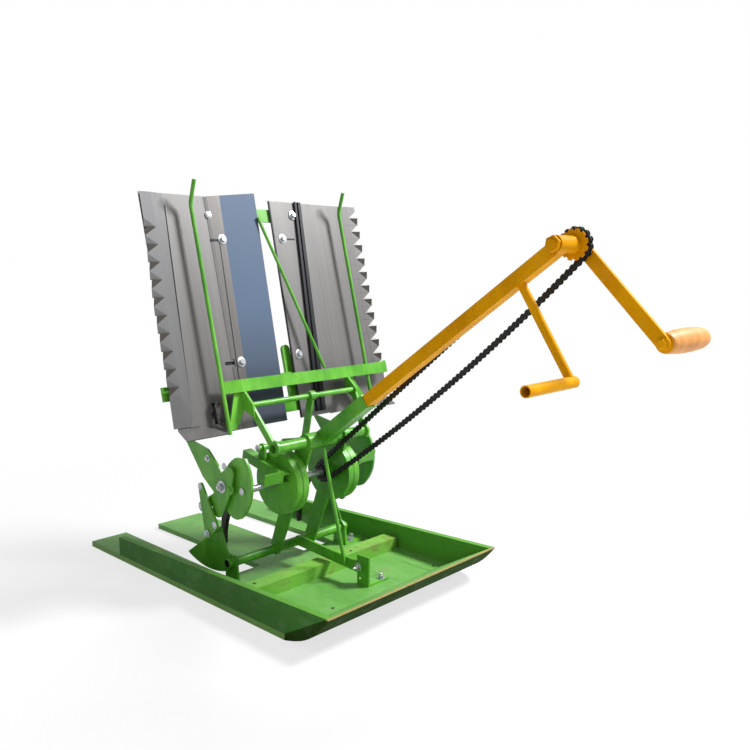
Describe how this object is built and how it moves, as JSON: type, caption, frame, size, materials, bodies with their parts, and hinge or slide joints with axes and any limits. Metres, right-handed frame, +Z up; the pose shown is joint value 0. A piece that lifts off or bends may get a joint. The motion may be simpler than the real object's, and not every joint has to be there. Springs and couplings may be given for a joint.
{
  "type": "two-row manual rice transplanter",
  "caption": "Hand-cranked walking rice transplanter: wooden sled, green tube frame, sliding seedling trays, chain-driven planting arms and claws, and a long handle arm.",
  "frame": {"origin": "underside of the sled, midway across, level with the front ends of the planting slots", "axes": "+X to the operator's left as they face the rear of the machine, +Y to the rear tips of the skis, +Z up"},
  "size_m": [0.716, 1.4605, 0.9625],
  "materials": {
    "sled_paint": "thin green paint on plywood, worn to bare wood at the edges",
    "frame_paint": "glossy green enamel",
    "tray_steel": "thin satin stainless sheet",
    "sheet_film": "stainless sheet under blue-grey film",
    "arm_paint": "orange-yellow enamel",
    "chain_steel": "oiled black",
    "bright_steel": "zinc plate",
    "claw_steel": "blackened steel",
    "grip_wood": "turned and varnished"
  },
  "bodies": {
    "root": {"deck": "sled_paint", "nose_board": "sled_paint", "side_board_left": "sled_paint", "side_board_right": "sled_paint", "batten": "sled_paint", "foot_lug_left": "frame_paint", "foot_lug_right": "frame_paint", "foot_tube": "frame_paint", "upright_left": "frame_paint", "upright_right": "frame_paint", "depth_bracket": "frame_paint", "depth_strut": "frame_paint", "brace_rod": "frame_paint", "guide_bar": "frame_paint", "guide_strap": "frame_paint", "feed_arm_left": "frame_paint", "feed_arm_right": "frame_paint", "handle_socket": "frame_paint", "handle_arm": "arm_paint", "grip_tube": "arm_paint", "chain": "chain_steel", "slot_guard_left": "frame_paint", "slot_guard_right": "frame_paint"},
    "drive_shaft": {"main_shaft": "bright_steel", "lower_sprocket": "chain_steel", "feed_drum_left": "frame_paint", "feed_drum_right": "frame_paint", "shaft_crank_left": "frame_paint", "shaft_crank_right": "frame_paint"},
    "crank": {"upper_sprocket": "arm_paint", "crank_axle": "bright_steel", "hand_crank": "arm_paint"},
    "crank_knob": {"crank_handle": "grip_wood"},
    "planter_left": {"planting_arm_left": "frame_paint", "claw_left": "claw_steel"},
    "planter_right": {"planting_arm_right": "frame_paint", "claw_right": "claw_steel"},
    "rocker_link_left": {"rocker_left": "frame_paint"},
    "rocker_link_right": {"rocker_right": "frame_paint"},
    "carriage": {"slide_tube": "frame_paint", "link_tube": "frame_paint", "side_link_left": "frame_paint", "side_link_right": "frame_paint", "rod_bar": "frame_paint", "holding_rod_left": "frame_paint", "holding_rod_right": "frame_paint", "tray_left": "tray_steel", "tray_right": "tray_steel", "tooth_edge_left": "tray_steel", "tooth_edge_right": "tray_steel", "inner_sheet_left": "sheet_film", "inner_sheet_right": "tray_steel", "lower_rail": "frame_paint", "cross_rail": "frame_paint", "upper_rail": "frame_paint", "gap_post": "frame_paint", "stay_rod": "frame_paint"}
  },
  "joints": [
    {"name": "drive_turn", "type": "hinge", "parent": "root", "child": "drive_shaft", "pos_m": [0, -0.097, 0.254], "axis": [1, 0, 0], "continuous": true},
    {"name": "crank_turn", "type": "hinge", "parent": "root", "child": "crank", "pos_m": [0, -0.784, 0.804], "axis": [1, 0, 0], "continuous": true},
    {"name": "knob_spin", "type": "hinge", "parent": "crank", "child": "crank_knob", "pos_m": [0.144, -0.951, 0.631], "axis": [1, 0, 0], "continuous": true},
    {"name": "planter_turn_left", "type": "hinge", "parent": "drive_shaft", "child": "planter_left", "pos_m": [-0.2115, -0.061, 0.254], "axis": [1, 0, 0], "continuous": true},
    {"name": "planter_turn_right", "type": "hinge", "parent": "drive_shaft", "child": "planter_right", "pos_m": [0.2115, -0.061, 0.254], "axis": [1, 0, 0], "continuous": true},
    {"name": "rocker_swing_left", "type": "hinge", "parent": "root", "child": "rocker_link_left", "pos_m": [-0.2215, 0.014, 0.134], "axis": [1, 0, 0], "range_deg": [-15, 15]},
    {"name": "rocker_swing_right", "type": "hinge", "parent": "root", "child": "rocker_link_right", "pos_m": [0.2215, 0.014, 0.134], "axis": [1, 0, 0], "range_deg": [-15, 15]},
    {"name": "tray_slide", "type": "slide", "parent": "root", "child": "carriage", "axis": [1, 0, 0], "range_m": [-0.061, 0.061]}
  ],
  "couplings": [
    {"joint": "crank_turn", "follows": "drive_turn", "ratio": 0.75},
    {"joint": "planter_turn_left", "follows": "drive_turn", "ratio": -1},
    {"joint": "planter_turn_right", "follows": "drive_turn", "ratio": -1}
  ]
}
